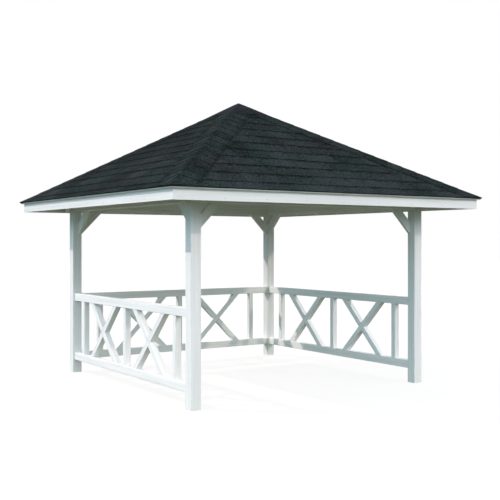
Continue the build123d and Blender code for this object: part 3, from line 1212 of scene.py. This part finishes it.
@dataclass(frozen=True)
class Sky:
    """Soft light from all around, brighter and cooler on some sides than on others.

    The light from a direction d is the sum of each side's colour times the square of how far d
    leans to that side, up to the height where that side fades, plus the colour overhead. The
    front's part grows from the horizon up, as over a hedge. Heights are sines.

    Attributes:
        left: light from -X, as linear colour.
        right: light from +X.
        front: light from -Y.
        back: light from +Y.
        overhead: light from above.
        hedge: the heights between which the front's light comes in.
        front_fade: the heights at which it is out and still whole.
        side_fade: the same for the other three sides.
        rise: the heights between which the light from above comes in.
    """

    left: Triple = (0.65, 1.13, 1.42)
    right: Triple = (0.05, 0.05, 0.05)
    front: Triple = (1.56, 1.70, 1.77)
    back: Triple = (0.05, 0.05, 0.05)
    overhead: Triple = (1.22, 1.26, 1.43)
    hedge: Pair = (-0.04, 0.16)
    front_fade: Pair = (0.55, 0.45)
    side_fade: Pair = (0.62, 0.22)
    rise: Pair = (0.22, 0.30)

    def colour(self, tree: Tree) -> Socket:
        """Adds the nodes that work out the light from a direction, as a colour."""
        parts = put(tree, "SeparateXYZ", put(tree, "TexCoord", out="Generated")).node.outputs
        sides, fore, hedge, above = [put(tree, "MapRange", parts[2], *heights) for heights in (
            self.side_fade, self.front_fade, self.hedge, self.rise)]
        fore = put(tree, "Math.MULTIPLY", fore, hedge)
        total = put(tree, "VectorMath.SCALE", self.overhead, above)
        for axis, sign, light, strength in ((0, -1.0, self.left, sides), (0, 1.0, self.right, sides),
                                            (1, -1.0, self.front, fore), (1, 1.0, self.back, sides)):
            lean = put(tree, "Math.MULTIPLY", parts[axis], sign, use_clamp=True)
            share = put(tree, "Math.MULTIPLY", put(tree, "Math.MULTIPLY", lean, lean), strength)
            total = put(tree, "VectorMath.ADD", total, put(tree, "VectorMath.SCALE", light, share))
        return total


@dataclass(frozen=True)
class PaleFloor(Finish):
    """A pale painted floor, seen only from above, that gives back little light, as a lawn does,
    so that the roof's underside stays dim.

    Attributes:
        glow: light that it gives to the object beyond its plan.
        shade_glow: light that it gives to the object under its roof.
        lawn: the share of other light that it gives back.
        shade_edge: from the middle, both ways, to where the shade under the roof ends.
        shine: how bright the paint looks by itself, so that the floor stays nearly white.
        wash: the share of the light on it that it shows as well, so that shadows show.
    """

    name: str = "pale_floor"
    glow: Triple = (0.002, 0.002, 0.002)
    shade_glow: Triple = (0.092, 0.106, 0.056)
    lawn: Triple = (0.085, 0.095, 0.065)
    shade_edge: Pair = (1.5, 2.5)
    shine: float = 0.90
    wash: Triple = (0.10, 0.10, 0.10)

    CLOUD_SIZE, CLOUD_DETAIL = 1.25, 2.0    # of the patches where the paint is a little duller

    def surface(self, tree: Tree) -> Socket:
        """Adds what the eye sees, what the object gets, and nothing from below."""
        spot = put(tree, "TexCoord", out="Object")
        clouds = put(tree, "TexNoise", spot, 1 / self.CLOUD_SIZE, self.CLOUD_DETAIL)
        pale = put(tree, "Mix.RGBA", clouds, "#fbfbfa", "#ffffff")
        wash = put(tree, "BsdfDiffuse", (*self.wash, 1.0))
        seen = put(tree, "AddShader", put(tree, "Emission", pale, self.shine), wash)
        away = put(tree, "SeparateXYZ", put(tree, "VectorMath.ABSOLUTE", spot)).node.outputs
        away = put(tree, "Math.MAXIMUM", away[0], away[1])
        open_air = put(tree, "MapRange", away, *self.shade_edge, interpolation_type="SMOOTHSTEP")
        given = put(tree, "Mix.RGBA", open_air, (*self.shade_glow, 1.0), (*self.glow, 1.0))
        lawn = put(tree, "BsdfDiffuse", (*self.lawn, 1.0))
        lawn = put(tree, "AddShader", put(tree, "Emission", given, 1.0), lawn)
        shown = put(tree, "MixShader", put(tree, "LightPath", out="Is Camera Ray"), lawn, seen)
        below = put(tree, "NewGeometry", out="Backfacing")
        return put(tree, "MixShader", below, shown, put(tree, "BsdfTransparent"))


@dataclass
class Studio:
    """A pale floor, soft sky light and two soft suns, and the camera.

    Attributes:
        eye: the camera's place.
        heading: the camera's turn from +Y towards +X, in degrees.
        focal: the lens in millimetres on a 36 mm frame.
        rise: the vertical shift of the lens.
        floor_radius: how far the floor goes.
        key: colour and strength of the sun from the back left, as linear light.
        key_way: the direction in which its light travels.
        key_width: how wide it is, in degrees, which softens its shadows.
        second: colour and strength of the sun from the front right.
        second_way: its direction.
        second_width: its width.
        dome: the sky.
    """

    eye: Triple = (-5.921, -9.148, 1.712)
    heading: float = 33.69
    focal: float = 61.52
    rise: float = -0.0154
    floor_radius: float = 70.0
    key: Triple = (2.60, 2.12, 1.92)
    key_way: Triple = (0.909, -0.741, -1.0)
    key_width: float = 0.8
    second: Triple = (0.90, 0.72, 0.60)
    second_way: Triple = (-0.855, 1.46, -1.0)
    second_width: float = 1.5
    dome: Sky = field(default_factory=Sky)

    FLOOR_RINGS = 8
    FLOOR_CORNERS = 48
    FLOOR_MIDDLE = 0.05      # radius of the face in the middle
    FLOOR_DEPTH = 0.0005     # below the posts' feet

    def link(self, name: str, data: bpy.types.ID) -> bpy.types.Object:
        """Puts a mesh, light or camera in the scene as an object."""
        thing = bpy.data.objects.new(name, data)
        bpy.context.scene.collection.objects.link(thing)
        return thing

    def camera(self) -> None:
        """Places the camera level at eye height, before the front left corner."""
        data = bpy.data.cameras.new("view")
        data.lens = self.focal
        data.sensor_width = 36.0
        data.shift_y = self.rise
        camera = self.link("view", data)
        camera.location = self.eye
        camera.rotation_euler = (math.radians(90), 0.0, math.radians(-self.heading))
        bpy.context.scene.camera = camera

    def sun(self, name: str, light: Triple, way: Triple, width: float) -> None:
        """Adds a sun.

        Args:
            name: of the light.
            light: its red, green and blue strength, in watts per square metre.
            way: the direction in which its light travels.
            width: how wide the sun is, in degrees.
        """
        data = bpy.data.lights.new(name, "SUN")
        data.energy = max(light)
        data.color = [part / data.energy for part in light]
        data.angle = math.radians(width)
        self.link(name, data).rotation_euler = Vector(way).to_track_quat("-Z", "Y").to_euler()

    def sky(self) -> None:
        """Sets a white backdrop, and the sky that only lights the object."""
        world = bpy.data.worlds.new("studio")
        world.use_nodes = True
        tree = world.node_tree
        tree.nodes.clear()
        soft = put(tree, "Background", self.dome.colour(tree), 1.0)
        backdrop = put(tree, "Background", "#ffffff", 1.0)
        chosen = put(tree, "MixShader", put(tree, "LightPath", out="Is Camera Ray"), soft, backdrop)
        put(tree, "OutputWorld", chosen)
        bpy.context.scene.world = world

    def floor(self) -> None:
        """Makes the floor: a disc of rings about the origin, whose radii grow with the square of
        their number."""
        turn = np.linspace(0, 2 * np.pi, self.FLOOR_CORNERS, endpoint=False)
        radii = self.floor_radius * (np.arange(self.FLOOR_RINGS + 1) / self.FLOOR_RINGS) ** 2
        radii[0] = self.FLOOR_MIDDLE
        flat = radii[:, None, None] * np.stack([np.cos(turn), np.sin(turn), 0 * turn], -1)
        number = np.arange(flat[..., 0].size).reshape(flat.shape[:2])
        after = np.roll(number, -1, axis=1)
        quads = np.stack([number[:-1], number[1:], after[1:], after[:-1]], -1).reshape(-1, 4)
        faces = [tuple(face) for face in quads.tolist()] + [tuple(number[0].tolist())]
        mesh = bpy.data.meshes.new("floor")
        mesh.from_pydata((flat.reshape(-1, 3) - (0, 0, self.FLOOR_DEPTH)).tolist(), [], faces)
        mesh.materials.append(PaleFloor().material())
        self.link("floor", mesh)

    def build(self) -> None:
        """Builds the floor, the sky, the two suns and the camera."""
        bpy.context.scene.view_settings.view_transform = "Standard"
        self.floor()
        self.sky()
        self.sun("key_sun", self.key, self.key_way, self.key_width)
        self.sun("second_sun", self.second, self.second_way, self.second_width)
        self.camera()


def main() -> None:
    """Builds the studio and the gazebo's finishes and pieces, in order."""
    Studio().build()
    log.info("studio built")
    planes = RoofPlanes.from_frame()
    felt = MineralFelt("mineral_felt").material()
    cap_felt = MineralFelt("mineral_felt_caps").material()
    peak_felt = MineralFelt("mineral_felt_peak", green="#273233", violet="#2a3036", patch=0.3).material()
    cut = CutBitumen().material()
    soft_cut = CutBitumen("gritted_bitumen", black="#0a0d0e", worn="#161b1c").material()
    timber = StainedTimber("stained_timber", None).material()
    boards = StainedTimber("stained_roof_boards", None, stain="#e9ecea").material()
    screws = Screws()
    PackedTimbers(planes).build()
    log.info("packed timbers dressed")
    ShingleField(planes).build(felt, cut)
    HipCaps.from_frame(planes).build(cap_felt, peak_felt, soft_cut)
    RoofBoarding(planes).build(boards)
    KneeBraces().build(timber, screws)
    RailingCrosses().build(timber)
    Fascias().build(screws)
    screws.build(ZincPlate().material())


if __name__ == "__main__":
    main()
